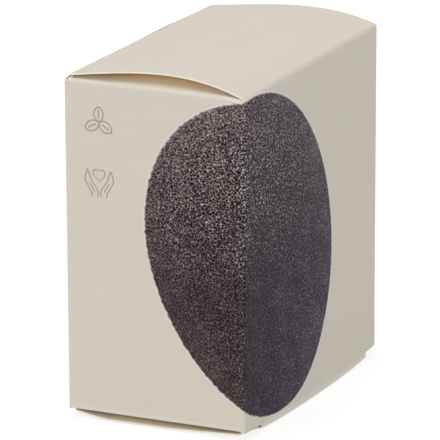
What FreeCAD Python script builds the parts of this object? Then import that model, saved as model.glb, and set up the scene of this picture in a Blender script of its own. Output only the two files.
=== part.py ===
"""Boxed konjac sponge: a folding carton of creased board, closed at both ends, with the dry sponge inside.

Frame: millimetres, +Z up, origin under the middle of the carton on the surface it stands on. The front panel
faces -Y and carries the creases of the lid and of the base. The carton is sized from the sponge that it holds.
"""
import FreeCAD, Part
import math
import os
import Sketcher

from FreeCAD import Placement, Rotation, Vector

# Driving sizes in millimetres, angles in degrees
SIZES = {
    # the sponge, a half-ball with its flat face to the back
    "sponge_diameter": 75.0,
    "sponge_thickness": 41.0,
    "sponge_rim_radius": 9.0,
    "sponge_side_radius": 22.0,
    # free room that the carton leaves around the sponge
    "side_room": 2.05,
    "front_room": 1.6,
    "back_room": 4.5,
    "head_room": 11.55,
    "sponge_rest_gap": 0.3,
    # the board, its rounded wall corners and the rolled beads of its end creases
    "board": 0.45,
    "corner_radius": 1.2,
    "bead_radius": 0.6,
    "bead_proud": 0.06,
    "crease_gap": 0.1,
    # the strip that closes the tube
    "glue_width": 11.0,
    "glue_end_gap": 4.0,
    "glue_film": 0.05,
    # the bowed lid
    "lid_side_gap": 0.8,
    "lid_bow": 3.3,
    "lid_tuck_lift": 0.5,
    # the bowed base, which stands on its flat middle
    "side_rise": 2.3,
    "base_side_gap": 0.5,
    "base_fold_sag": 0.5,
    "base_front_run": 13.4,
    "base_flat": 22.0,
    "fold_left_inset": 11.0,
    "fold_right_inset": 6.0,
    "notch_width": 2.5,
    "notch_depth": 0.9,
    # the flaps tucked in behind the back panel
    "tuck_inset": 1.4,
    "tuck_length": 12.0,
    "tuck_side_gap": 1.5,
    "tuck_taper": 1.5,
    "tuck_corner_radius": 6.0,
    "tuck_lean": 10.0,
    # the flaps folded in from the side panels
    "dust_length": 20.0,
    "dust_front_inset": 1.5,
    "dust_rear_inset": 2.5,
    "dust_shoulder": 8.0,
    "dust_taper": 5.0,
    "dust_mitre_share": 1.0,
    "dust_droop": 4.0,
    # how far a cut runs past the board
    "cut_overrun": 1.0,
}


class Size:
    """A number together with the sheet formula that gives it."""

    def __init__(self, number, formula):
        self.number = number
        self.formula = formula

    def __add__(self, other):
        other = as_size(other)
        return Size(self.number + other.number, f"({self.formula} + {other.formula})")

    def __sub__(self, other):
        other = as_size(other)
        return Size(self.number - other.number, f"({self.formula} - {other.formula})")

    def __mul__(self, other):
        other = as_size(other)
        return Size(self.number * other.number, f"({self.formula} * {other.formula})")

    def __truediv__(self, other):
        other = as_size(other)
        return Size(self.number / other.number, f"({self.formula} / {other.formula})")

    def __neg__(self):
        return Size(-self.number, f"(-1 * {self.formula})")

    def __radd__(self, other):
        return as_size(other) + self

    def __rsub__(self, other):
        return as_size(other) - self

    def __rmul__(self, other):
        return as_size(other) * self


def as_size(value):
    return value if isinstance(value, Size) else Size(float(value), repr(float(value)))


def root(size):
    return Size(math.sqrt(size.number), f"sqrt({size.formula})")


doc = FreeCAD.newDocument("boxed_sponge")
sheet = doc.addObject("Spreadsheet::Sheet", "sizes")
for row, (alias, number) in enumerate(SIZES.items(), start=1):
    sheet.set(f"A{row}", alias)
    sheet.set(f"B{row}", str(number))
    sheet.setAlias(f"B{row}", alias)
sheet.recompute()
cell = {alias: Size(float(sheet.get(alias)), f"<<sizes>>.{alias}") for alias in SIZES}

board = cell["board"]
bead = cell["bead_radius"]
sheet_face = bead - cell["bead_proud"]
gap = cell["crease_gap"]
overrun = cell["cut_overrun"]
bend = cell["corner_radius"]

# Outer size of the carton, from the sponge and its room
width = cell["sponge_diameter"] + 2 * cell["side_room"] + 2 * board
depth = cell["sponge_thickness"] + cell["front_room"] + cell["back_room"] + 2 * board
sponge_foot = board + cell["sponge_rest_gap"]
top_crease = sponge_foot + cell["sponge_diameter"] + cell["head_room"]
bottom_crease = cell["side_rise"]
wall_height = top_crease - bottom_crease

# Crease axes: distance from the middle and height
fold_y = depth / 2 - bead
tuck_y = depth / 2 - cell["tuck_inset"]
lid_axis_z = top_crease - bead + board
lid_tuck_z = top_crease + cell["lid_tuck_lift"]
base_axis_z = cell["base_fold_sag"] + bead
base_tuck_z = bottom_crease
dust_axis_x = width / 2 - bead

sub_parts = []


def new_body(label):
    body = doc.addObject("PartDesign::Body", label)
    body.Label = label
    sub_parts.append(body)
    return body


def origin_plane(body, role):
    return next(feature for feature in body.Origin.OriginFeatures if feature.Role == role)


def bind(target, prop, size):
    target.setExpression(prop, size.formula)


def place(body, rotation, x, y, z):
    """Turn a body, then tie its place to the sheet."""
    body.Placement = Placement(Vector(x.number, y.number, z.number), rotation)
    for axis, size in zip("xyz", (x, y, z)):
        bind(body, f"Placement.Base.{axis}", size)


def side_curve(start, end, arc):
    """The line or arc between two points, and which of its ends come first and last.

    An arc whose radius is below zero bulges to the right of the way it is walked, which makes it anticlockwise.
    A sketch holds every arc anticlockwise, so an arc that bulges to the left is drawn from its end.
    """
    if arc is None:
        return Part.LineSegment(start, end), (1, 2)
    radius = abs(arc.number)
    chord = end - start
    rise = radius - math.sqrt(radius ** 2 - chord.Length ** 2 / 4)
    left = Vector(-chord.y, chord.x, 0).normalize()
    crown = (start + end) / 2 + left * math.copysign(rise, arc.number)
    if arc.number < 0:
        return Part.Arc(start, crown, end), (1, 2)
    return Part.Arc(end, crown, start), (2, 1)


def closed_sketch(body, name, role, outlines, lift=None):
    """Sketch closed outlines on an origin plane, each corner and radius tied to the sheet.

    A corner is (across, up) or (across, up, radius), where the radius bends the side that leaves the corner.
    """
    sketch = body.newObject("Sketcher::SketchObject", name)
    sketch.AttachmentSupport = (origin_plane(body, role), [""])
    sketch.MapMode = "FlatFace"
    if lift is not None:
        bind(sketch, "AttachmentOffset.Base.z", lift)
    for outline in outlines:
        corners = [tuple(as_size(size) for size in corner) for corner in outline]
        points = [Vector(corner[0].number, corner[1].number, 0) for corner in corners]
        first = sketch.GeometryCount
        ends = []
        for index, corner in enumerate(corners):
            start, end = points[index], points[(index + 1) % len(points)]
            curve, order = side_curve(start, end, corner[2] if len(corner) > 2 else None)
            sketch.addGeometry(curve, False)
            ends.append(order)
        for index, corner in enumerate(corners):
            side = first + index
            follower = (index + 1) % len(corners)
            sketch.addConstraint(
                Sketcher.Constraint("Coincident", side, ends[index][1], first + follower, ends[follower][0]))
            for kind, size in (("DistanceX", corner[0]), ("DistanceY", corner[1])):
                datum = sketch.addConstraint(
                    Sketcher.Constraint(kind, -1, 1, side, ends[index][0], size.number))
                bind(sketch, f"Constraints[{datum}]", size)
            if len(corner) > 2:
                radius = corner[2] if corner[2].number > 0 else -corner[2]
                datum = sketch.addConstraint(Sketcher.Constraint("Radius", side, radius.number))
                bind(sketch, f"Constraints[{datum}]", radius)
    return sketch


def pad(body, name, sketch, length):
    feature = body.newObject("PartDesign::Pad", name)
    feature.Profile = sketch
    bind(feature, "Length", length)
    doc.recompute()
    return feature


def cut_through(body, name, sketch):
    """Cut a sketch through the board on both sides of its plane, and make sure that it cut something."""
    before = body.Shape.Volume
    feature = body.newObject("PartDesign::Pocket", name)
    feature.Profile = sketch
    feature.Type = "ThroughAll"
    feature.SideType = "Symmetric"
    doc.recompute()
    if body.Shape.Volume >= before:
        raise RuntimeError(f"{name} cuts nothing from {body.Label}")


def crease_bead(body, length, start=None):
    """The rolled bead of a crease, along the body's own X axis, where the board turns."""
    feature = body.newObject("PartDesign::AdditiveCylinder", "crease_bead")
    feature.AttachmentSupport = (origin_plane(body, "YZ_Plane"), [""])
    feature.MapMode = "FlatFace"
    bind(feature, "Radius", bead)
    bind(feature, "Height", length)
    if start is not None:
        bind(feature, "AttachmentOffset.Base.z", start)
    doc.recompute()


def wall_section(length, start_bent, end_bent):
    """Section of a wall seen from above: its outer face at zero, each bent end stopping halfway round a corner."""
    half_turn = math.sqrt(0.5)
    inner_bend = bend - board

    def corner(radius, at_end):
        along = bend - radius * half_turn
        across = bend - radius * half_turn
        return (length - along if at_end else along, across)

    outline = []
    if start_bent:
        outline.append((*corner(bend, False), -bend))
        outline.append((bend, 0))
    else:
        outline.append((0, 0))
    if end_bent:
        outline.append((length - bend, 0, -bend))
        outline.append(corner(bend, True))
        outline.append((*corner(inner_bend, True), inner_bend))
        outline.append((length - bend, board))
    else:
        outline.append((length, 0))
        outline.append((length, board))
    if start_bent:
        outline.append((bend, board, inner_bend))
        outline.append(corner(inner_bend, False))
    else:
        outline.append((0, board))
    return outline


def wall(label, length, height, start_bent=True, end_bent=True):
    body = new_body(label)
    section = closed_sketch(body, "section", "XY_Plane", [wall_section(length, start_bent, end_bent)])
    pad(body, "panel", section, height)
    return body


def rectangle(low_x, high_x, low_y, high_y):
    return [(low_x, low_y), (high_x, low_y), (high_x, high_y), (low_x, high_y)]


# Front panel: between the lid crease and the base fold, with a foot and a notch at each lower corner
front_foot_z = base_axis_z + bead + gap
front_top_z = lid_axis_z - bead - gap
foot_lift = bottom_crease - front_foot_z
notch_top = foot_lift + cell["notch_depth"]
fold_start = cell["fold_left_inset"]
fold_end = width - cell["fold_right_inset"]
left_relief = [
    (-overrun, -overrun),
    (fold_start, -overrun),
    (fold_start, notch_top),
    (fold_start - cell["notch_width"], notch_top),
    (fold_start - cell["notch_width"], foot_lift),
    (-overrun, foot_lift),
]
right_relief = [
    (fold_end, -overrun),
    (width + overrun, -overrun),
    (width + overrun, foot_lift),
    (fold_end + cell["notch_width"], foot_lift),
    (fold_end + cell["notch_width"], notch_top),
    (fold_end, notch_top),
]
front = wall("front_panel", width, front_top_z - front_foot_z)
relief = closed_sketch(front, "foot_notches", "XZ_Plane", [left_relief, right_relief])
cut_through(front, "foot_relief", relief)
place(front, Rotation(), -width / 2, -depth / 2, front_foot_z)

# Side panels: each has a seat at its top and bottom edge for the bead of a dust flap
dust_span = depth - cell["dust_front_inset"] - cell["dust_rear_inset"]
seat_depth = 2 * bead + gap


def side_panel(label, front_first, length, end_bent):
    body = wall(label, length, wall_height, end_bent=end_bent)
    low = cell["dust_front_inset"] if front_first else cell["dust_rear_inset"]
    seat_low = low - gap
    seat_high = low + dust_span + gap
    top_seat = rectangle(seat_low, seat_high, wall_height - seat_depth, wall_height + overrun)
    bottom_seat = rectangle(seat_low, seat_high, -overrun, seat_depth)
    seats = closed_sketch(body, "dust_flap_seats", "XZ_Plane", [top_seat, bottom_seat])
    cut_through(body, "seat_relief", seats)
    return body


glue_face_x = width / 2 - board - cell["glue_film"]
right_length = depth - cell["glue_film"]
left_side = side_panel("left_side_panel", False, depth, True)
place(left_side, Rotation(Vector(0, 0, 1), -90), -width / 2, depth / 2, bottom_crease)
right_side = side_panel("right_side_panel", True, right_length, False)
place(right_side, Rotation(Vector(0, 0, 1), 90), width / 2, -depth / 2, bottom_crease)

# Back panel: plain at both ends, bent into the glue flap at the right
back = wall("back_panel", width / 2 + glue_face_x, wall_height)
place(back, Rotation(Vector(0, 0, 1), 180), glue_face_x, depth / 2, bottom_crease)

# Glue flap: lies against the inside of the right side panel
glue = wall("glue_flap", cell["glue_width"], wall_height - 2 * cell["glue_end_gap"], start_bent=False)
glue_start_y = depth / 2 - cell["glue_width"]
place(glue, Rotation(Vector(0, 0, 1), 90), glue_face_x, glue_start_y, bottom_crease + cell["glue_end_gap"])

# Lid: an even bow from the front crease to the crease of its tuck flap
lid_reach = tuck_y + fold_y
lid_climb = lid_tuck_z - lid_axis_z
lid_chord = root(lid_reach * lid_reach + lid_climb * lid_climb)
bow = cell["lid_bow"]
bow_radius = (lid_chord * lid_chord / 4 + bow * bow) / (2 * bow)
outer_radius = bow_radius + sheet_face
inner_radius = outer_radius - board
bow_centre_z = bow - bow_radius
start_share = lid_chord / 2 / bow_radius
start_up_share = (bow_radius - bow) / bow_radius
end_share = start_share - (bead + gap) / bow_radius
end_up_share = root(1 - end_share * end_share)


def bow_point(radius, along_share, up_share):
    return (lid_chord / 2 + radius * along_share, bow_centre_z + radius * up_share)


lid_outline = [
    (*bow_point(outer_radius, -start_share, start_up_share), outer_radius),
    bow_point(outer_radius, end_share, end_up_share),
    (*bow_point(inner_radius, end_share, end_up_share), -inner_radius),
    bow_point(inner_radius, -start_share, start_up_share),
]
lid_width = width - 2 * cell["lid_side_gap"]
lid_tilt = math.degrees(math.atan2(lid_climb.number, lid_reach.number))
lid = new_body("lid_panel")
pad(lid, "bowed_sheet", closed_sketch(lid, "bow", "YZ_Plane", [lid_outline]), lid_width)
crease_bead(lid, lid_width)
place(lid, Rotation(Vector(1, 0, 0), lid_tilt), -lid_width / 2, -fold_y, lid_axis_z)

# Base: slopes down from its fold to a flat strip that the carton stands on, and up to its tuck flap
base_width = width - 2 * cell["base_side_gap"]
flat_start = cell["base_front_run"]
flat_end = flat_start + cell["base_flat"]
rear_end = fold_y + tuck_y - bead - gap
rear_rise = base_tuck_z - base_axis_z - sheet_face
base_lower = [
    (0, -sheet_face),
    (flat_start, -base_axis_z),
    (flat_end, -base_axis_z),
    (rear_end, rear_rise),
]
base_upper = [(along, up + board) for along, up in reversed(base_lower)]
base = new_body("base_panel")
pad(base, "bowed_sheet", closed_sketch(base, "bow", "YZ_Plane", [base_lower + base_upper]), base_width)
crease_bead(base, fold_end - fold_start, fold_start - cell["base_side_gap"])
place(base, Rotation(), -base_width / 2, -fold_y, base_axis_z)


def flap(label, outline, crease_length):
    """A flat flap: its bead along X, its sheet along Y, its printed face up and just under the bead's top."""
    body = new_body(label)
    pad(body, "sheet", closed_sketch(body, "outline", "XY_Plane", [outline], sheet_face - board), board)
    crease_bead(body, crease_length)
    return body


def turned(along, across, lean):
    """The turn that takes a flap's X to one direction and its Y to another, leaning about its crease."""
    return Rotation(along, across, along.cross(across), "XYZ") * Rotation(Vector(1, 0, 0), lean)


# Tuck flaps: narrower towards their rounded free corners, leaning in from the back panel
tuck_width = lid_width - 2 * cell["tuck_side_gap"]
tuck_length = cell["tuck_length"]
tuck_round = cell["tuck_corner_radius"]
tuck_shoulder = tuck_length - tuck_round
taper = cell["tuck_taper"]
tuck_outline = [
    (0, 0),
    (tuck_width, 0),
    (tuck_width - taper, tuck_shoulder, -tuck_round),
    (tuck_width - taper - tuck_round, tuck_length),
    (taper + tuck_round, tuck_length, -tuck_round),
    (taper, tuck_shoulder),
]
lean = cell["tuck_lean"].number
east, north, up = Vector(1, 0, 0), Vector(0, 1, 0), Vector(0, 0, 1)
lid_tuck = flap("lid_tuck_flap", tuck_outline, tuck_width)
place(lid_tuck, turned(east, -up, -lean), -tuck_width / 2, tuck_y, lid_tuck_z)
base_tuck = flap("base_tuck_flap", tuck_outline, tuck_width)
place(base_tuck, turned(-east, up, -lean), tuck_width / 2, tuck_y, base_tuck_z)

# Dust flaps: mitred beside the front crease, shouldered and tapered beside the tuck flap
dust_length = cell["dust_length"]
front_edge = dust_length * cell["dust_mitre_share"]
rear_edge_first = [
    (0, 0),
    (dust_span, 0),
    (dust_span - front_edge, dust_length),
    (cell["dust_taper"], dust_length),
    (0, cell["dust_shoulder"]),
]
front_edge_first = [(dust_span - along, across) for along, across in rear_edge_first]
rear_y = depth / 2 - cell["dust_rear_inset"]
front_y = -(depth / 2 - cell["dust_front_inset"])
droop = cell["dust_droop"].number
dust_top_z = top_crease - bead
dust_bottom_z = bottom_crease + bead
left_dust = flap("left_dust_flap", rear_edge_first, dust_span)
place(left_dust, turned(-north, east, -droop), -dust_axis_x, rear_y, dust_top_z)
right_dust = flap("right_dust_flap", front_edge_first, dust_span)
place(right_dust, turned(north, -east, -droop), dust_axis_x, front_y, dust_top_z)
base_left_dust = flap("base_left_dust_flap", front_edge_first, dust_span)
place(base_left_dust, turned(north, east, 0), -dust_axis_x, front_y, dust_bottom_z)
base_right_dust = flap("base_right_dust_flap", rear_edge_first, dust_span)
place(base_right_dust, turned(-north, -east, 0), dust_axis_x, rear_y, dust_bottom_z)

# Sponge: a half-ball puff turned about its short axis, with a rounded rim and a full shoulder
puff_radius = cell["sponge_diameter"] / 2
puff_height = cell["sponge_thickness"]
rim = cell["sponge_rim_radius"]
shoulder = cell["sponge_side_radius"]
crown_run = puff_height - shoulder
shoulder_reach = puff_radius - shoulder
crown_centre = (crown_run * crown_run - shoulder_reach * shoulder_reach - rim * rim) / (2 * (crown_run - rim))
crown_radius = puff_height - crown_centre
centre_gap = crown_radius - shoulder
join_share = crown_radius / centre_gap
puff_outline = [
    (0, 0),
    (puff_radius - rim, 0, -rim),
    (puff_radius, rim, -shoulder),
    (shoulder_reach * join_share, crown_centre + (rim - crown_centre) * join_share, -crown_radius),
    (0, puff_height),
]
sponge = new_body("sponge")
puff = sponge.newObject("PartDesign::Revolution", "puff")
puff_sketch = closed_sketch(sponge, "half_section", "XY_Plane", [puff_outline])
puff.Profile = puff_sketch
puff.ReferenceAxis = (puff_sketch, ["V_Axis"])
puff.Angle = 360
sponge_back_y = depth / 2 - board - cell["back_room"]
place(sponge, Rotation(Vector(0, 0, 1), 180), as_size(0), sponge_back_y, sponge_foot + puff_radius)

doc.recompute()
for item in doc.Objects:
    if {"Invalid", "Error"} & set(item.State):
        raise RuntimeError(f"{item.Label} failed: {item.State}")
for body in sub_parts:
    if body.Shape.isNull() or not body.Shape.isValid() or len(body.Shape.Solids) != 1:
        raise RuntimeError(f"{body.Label} has no single valid solid")

os.makedirs("parts", exist_ok=True)
for body in sub_parts:
    body.Shape.exportStep(f"parts/{body.Label}.step")
    box = body.Shape.BoundBox
    print(f"{body.Label}: {body.Shape.Volume:.2f} mm3, "
          f"x {box.XMin:.2f}..{box.XMax:.2f}, y {box.YMin:.2f}..{box.YMax:.2f}, z {box.ZMin:.2f}..{box.ZMax:.2f}")
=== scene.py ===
import bpy
import math
import numpy as np
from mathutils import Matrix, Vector


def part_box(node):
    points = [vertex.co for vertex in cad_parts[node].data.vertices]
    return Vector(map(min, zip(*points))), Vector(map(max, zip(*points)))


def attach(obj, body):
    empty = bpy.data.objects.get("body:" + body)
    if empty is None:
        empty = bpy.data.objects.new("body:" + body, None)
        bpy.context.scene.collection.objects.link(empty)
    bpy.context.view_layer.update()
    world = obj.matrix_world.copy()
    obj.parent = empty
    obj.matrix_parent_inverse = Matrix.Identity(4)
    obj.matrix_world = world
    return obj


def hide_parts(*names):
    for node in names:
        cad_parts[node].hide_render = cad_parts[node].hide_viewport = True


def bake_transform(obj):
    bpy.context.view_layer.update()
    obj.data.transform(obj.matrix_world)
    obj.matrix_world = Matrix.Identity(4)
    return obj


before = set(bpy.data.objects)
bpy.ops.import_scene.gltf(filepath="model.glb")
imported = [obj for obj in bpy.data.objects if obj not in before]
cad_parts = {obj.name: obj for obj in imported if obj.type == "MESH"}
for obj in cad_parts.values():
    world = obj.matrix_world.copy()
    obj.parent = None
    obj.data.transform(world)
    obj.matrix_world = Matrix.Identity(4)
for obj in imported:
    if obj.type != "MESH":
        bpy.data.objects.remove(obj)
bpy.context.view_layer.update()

# Front panel: the wall at the right of the view, between the lid crease and the base fold. It is white
# boxboard, printed and matt laminated on its outer face, die-cut and creased. Its lower corners end in
# feet beside small notches where the base fold begins.
MM = 0.001
BOARD = 0.45
CORNER = 0.9
ARC_STEPS = 10
front_low, _ = (np.array(corner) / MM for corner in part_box("front_panel"))
left_low, left_high = (np.array(corner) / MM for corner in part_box("left_side_panel"))
_, right_high = (np.array(corner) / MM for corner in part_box("right_side_panel"))
_, back_high = (np.array(corner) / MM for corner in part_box("back_panel"))
WEST, EAST = left_low[0], right_high[0]
SOUTH, NORTH = front_low[1], back_high[1]
FOOT, CROWN = left_low[2], left_high[2]
WIDTH, DEPTH, HEIGHT = EAST - WEST, NORTH - SOUTH, CROWN - FOOT


def linear(hex_colour):
    """An sRGB hex colour as linear red, green, blue and alpha."""
    srgb = np.array([int(hex_colour[i:i + 2], 16) for i in (1, 3, 5)]) / 255
    light = np.where(srgb <= 0.04045, srgb / 12.92, ((srgb + 0.055) / 1.055) ** 2.4)
    return (*light.tolist(), 1.0)


def add_node(tree, kind, sockets=(), **settings):
    """Add a shader node, set its properties, then fill its sockets, in order or by name, with values or
    links. A node given as a value is linked from its first output.
    """
    made = tree.nodes.new("ShaderNode" + kind)
    for key, value in settings.items():
        setattr(made, key, value)
    filled = sockets if isinstance(sockets, dict) else dict(enumerate(sockets))
    for key, value in filled.items():
        if isinstance(value, bpy.types.Node):
            value = value.outputs[0]
        if isinstance(value, bpy.types.NodeSocket):
            tree.links.new(value, made.inputs[key])
        else:
            made.inputs[key].default_value = value
    return made


def new_material(name):
    """A material with one plain surface: the material, its node tree and the surface node."""
    material = bpy.data.materials.new(name)
    material.use_nodes = True
    tree = material.node_tree
    tree.nodes.clear()
    surface = add_node(tree, "BsdfPrincipled")
    add_node(tree, "OutputMaterial", {"Surface": surface.outputs["BSDF"]})
    return material, tree, surface


# Matt laminated boxboard: a warm grey ink under a dull film. It shows as an even, soft colour with a faint
# paper tooth and a paler line where a crease has stretched the ink. Across one crease it carries the
# printed picture of a dark sponge: an oval of fine pale strands over dark pores, sharpest at its upper
# left and soft at its lower right, with a ragged edge on the left. Right of the crease, on the front panel,
# its greys turn bluish: a painted cool sheen of the front's gloss, strongest low down. High on the left
# side panel two small figures stand in a thin line of darker ink. On the upper dust flaps, away from their
# crease, the board turns tan: painted warm shade for the gap under the lid. The real tooth is too fine to
# show, so it is drawn coarser.
INK = "#CBC4B7"
CREASE_TINT = "#D6CFC3"
# painted warm shade: the tan that the upper dust flaps turn away from their crease stands in for warm bounce
# light in the gap under the lid
GAP_SHADE_TAN = "#D9BC8C"
TOOTH, TOOTH_DEPTH, TOOTH_STRENGTH = 0.35, 0.04, 0.12
MOTTLE, MOTTLE_RANGE = 9.0, (0.985, 1.015)
INK_NOISE, MAIN_NOISE = (0.25, 0.75), (0.3, 0.7)
ROUGHNESS = (0.56, 0.64)
PICTURE_CENTRE = (13.1, 42.6, 0.0)
PICTURE_HALF_AXES = (36.6, 44.7, 1.0)
PICTURE_TILT = math.radians(33.1)
PICTURE_EGG, PICTURE_TIP, PICTURE_TOE = 0.04, 0.012, 0.06
PICTURE_BEYOND, TIP_POWER, TOE_POWER, BORDER_POWER = 1.2, 6.0, 4.0, 4.0
EDGE_SOFTNESS = 0.006
TEAR, TEAR_REACH, TEAR_DEPTHS = 1.2, (-12.0, 20.0), (0.03, 0.01)
HALO, HALO_WIDTH = "#DFD9CF", 0.014
FIGURE_INK, FIGURE_LINE, FIGURE_EDGE_SHARES = "#9A8F80", 0.33, (0.3, 0.7)
SPRIG_PLACE, PALMS_PLACE = (-38.7, 75.6), (-38.7, 59.6)
LEAVES = (((0.0, 1.4), 90, 3.8, 1.25, 0.5), ((-1.75, -1.6), 28, 4.0, 1.3, 0.5),
          ((1.8, -1.7), -35, 4.0, 1.3, 0.5))
PALM, WRIST = ((0.0, -1.3), 90, 8.8, 1.0, 0.22), -3.6
PALM_RUN, PALM_BEND = (-3.0, 1.2), (1.2, 3.1)
HEART_HEIGHT, HEART_HALF, HEART_SQUAT, HEART_LOBES = 1.5, 1.6, 0.8, 0.7
PORE_SPACING, PORE_DRAW = 0.75, 0.34
STRAND_WIDTH, STRAND_SWAY = 0.3, 0.6
GLINT_SPACING, GLINTS, GLINT_MEAN = 0.55, (0.8, 4.2), 1.4
SHADE_PATCH, SHADE_RANGE = 6.5, 0.045
PICTURE_LOW, PICTURE_MID, PICTURE_HIGH = 33.0, 57.0, 80.0
LEVEL, LEVEL_RISE, BORDER_LIFT, CREASE_LIFT = 0.127, 0.107, 0.1, 0.08
FRONT_RUN, FRONT_SHADES = 42.0, (-0.088, 0.018)
CREASE_REACH = (-0.5, 1.0)
CONTRAST, CONTRAST_RISES, FRONT_GAIN = 0.14, (0.118, 0.0), 0.4
BORDER_FADE, CREASE_GAIN = 0.5, 0.3
WARM_GREYS = ("#120505", "#423537", "#807374", "#BFB3B3", "#F1E9E8")
# cooler greys of the print, used for a painted cool sheen on the front panel
SHEEN_GREYS = ("#140617", "#3F3542", "#7F767F", "#BFB7BC", "#F0ECEE")
SHEEN_REACH, HIGH_SHEEN = (-3.0, 10.0), 0.45
PAPER_GLOSS, INK_GLOSS = 0.2, 0.14
laminated, tree, surface = new_material("matt_laminated_boxboard")
flat_place = add_node(tree, "Attribute", attribute_name="flat_place").outputs["Vector"]
crease_wear = add_node(tree, "Attribute", attribute_name="crease_wear").outputs["Fac"]
gap_shade = add_node(tree, "Attribute", attribute_name="gap_shade").outputs["Fac"]
mottle = add_node(tree, "TexNoise", {"Vector": flat_place, "Scale": 1 / MOTTLE, "Detail": 3.0})
ink_value = add_node(tree, "MapRange", [mottle, *INK_NOISE, *MOTTLE_RANGE])
ink = add_node(tree, "HueSaturation", {"Color": linear(INK), "Value": ink_value})
stretched = add_node(tree, "MixRGB", [crease_wear, ink, linear(CREASE_TINT)])
# painted warm shade: mixed in on the upper dust flaps, away from their crease
gap_shaded = add_node(tree, "MixRGB", [gap_shade, stretched, linear(GAP_SHADE_TAN)])
# place in the picture, with its edge on the unit circle: x to the right, y to the upper left. A share of y
# squared makes it an egg, and higher powers of y square its toe and sharpen its tip
in_picture = add_node(tree, "Mapping", {"Vector": flat_place, "Location": PICTURE_CENTRE,
                                        "Rotation": (0.0, 0.0, PICTURE_TILT), "Scale": PICTURE_HALF_AXES},
                      vector_type="TEXTURE")
picture_x, picture_y, _ = add_node(tree, "SeparateXYZ", [in_picture]).outputs
y_squared = add_node(tree, "Math", [picture_y, picture_y], operation="MULTIPLY")
egg = add_node(tree, "Math", [y_squared, PICTURE_EGG, picture_x], operation="MULTIPLY_ADD")
lower_half = add_node(tree, "Clamp", [picture_y, -PICTURE_BEYOND, 0.0])
toe = add_node(tree, "Math", [lower_half, TOE_POWER], operation="POWER")
toed_egg = add_node(tree, "Math", [toe, -PICTURE_TOE, egg], operation="MULTIPLY_ADD")
egg_place = add_node(tree, "CombineXYZ", [toed_egg, picture_y])
round_reach = add_node(tree, "VectorMath", [egg_place], operation="LENGTH").outputs["Value"]
upper_half = add_node(tree, "Clamp", [picture_y, 0.0, PICTURE_BEYOND])
tip = add_node(tree, "Math", [upper_half, TIP_POWER], operation="POWER")
reach = add_node(tree, "Math", [tip, -PICTURE_TIP, round_reach], operation="MULTIPLY_ADD")
flat_x, flat_y, _ = add_node(tree, "SeparateXYZ", [flat_place]).outputs
tear_noise = add_node(tree, "TexNoise", {"Vector": flat_place, "Scale": 1 / TEAR, "Detail": 3.0})
tear = add_node(tree, "Math", [tear_noise, 0.5], operation="SUBTRACT")
tear_depth = add_node(tree, "MapRange", [flat_x, *TEAR_REACH, *TEAR_DEPTHS])
edge = add_node(tree, "Math", [tear, tear_depth, reach], operation="MULTIPLY_ADD")
picture_mask = add_node(tree, "MapRange", [edge, 1.0 - EDGE_SOFTNESS, 1.0 + EDGE_SOFTNESS, 1.0, 0.0])
halo_mask = add_node(tree, "MapRange", [edge, 1.0, 1.0 + HALO_WIDTH, 1.0, 0.0])
haloed = add_node(tree, "MixRGB", [halo_mask, gap_shaded, linear(HALO)])


def pointed_oval(tree, place, centre, degrees, length, half_width, rib):
    """Distance to a pointed oval's outline and midrib: two arcs that meet at its tips, and a straight line
    along a share of its length.
    """
    radius = (length ** 2 / 4 + half_width ** 2) / (2 * half_width)
    turned = add_node(tree, "Mapping", {"Vector": place, "Location": (*centre, 0.0),
                                        "Rotation": (0.0, 0.0, math.radians(degrees))}, vector_type="TEXTURE")
    folded = add_node(tree, "VectorMath", [turned], operation="ABSOLUTE")
    to_centre = (0.0, radius - half_width, 0.0)
    from_centre = add_node(tree, "VectorMath", [folded, to_centre], operation="ADD")
    arc_reach = add_node(tree, "VectorMath", [from_centre], operation="LENGTH").outputs["Value"]
    past_arc = add_node(tree, "Math", [arc_reach, radius], operation="SUBTRACT")
    outline = add_node(tree, "Math", [past_arc], operation="ABSOLUTE")
    folded_x, folded_y, _ = add_node(tree, "SeparateXYZ", [folded]).outputs
    past_rib = add_node(tree, "Math", [folded_x, rib * length / 2], operation="SUBTRACT")
    midrib = add_node(tree, "Math", [past_rib, folded_y], operation="MAXIMUM")
    return add_node(tree, "Math", [outline, midrib], operation="MINIMUM")


# two plain line figures: a sprig of three leaves, and a heart between two open palms that bend outwards
in_sprig = add_node(tree, "VectorMath", [flat_place, (*SPRIG_PLACE, 0.0)], operation="SUBTRACT")
figure_lines = [pointed_oval(tree, in_sprig, *leaf) for leaf in LEAVES]
in_palms = add_node(tree, "VectorMath", [flat_place, (*PALMS_PLACE, 0.0)], operation="SUBTRACT")
across_palms, palm_y, _ = add_node(tree, "SeparateXYZ", [in_palms]).outputs
palm_x = add_node(tree, "Math", [across_palms], operation="ABSOLUTE")
palm_bend = add_node(tree, "MapRange", [palm_y, *PALM_RUN, *PALM_BEND], interpolation_type="SMOOTHSTEP")
beside_palm = add_node(tree, "Math", [palm_x, palm_bend], operation="SUBTRACT")
in_palm = add_node(tree, "CombineXYZ", [beside_palm, palm_y])
past_wrist = add_node(tree, "Math", [WRIST, palm_y], operation="SUBTRACT")
palm = pointed_oval(tree, in_palm, *PALM)
figure_lines.append(add_node(tree, "Math", [palm, past_wrist], operation="MAXIMUM"))
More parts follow.
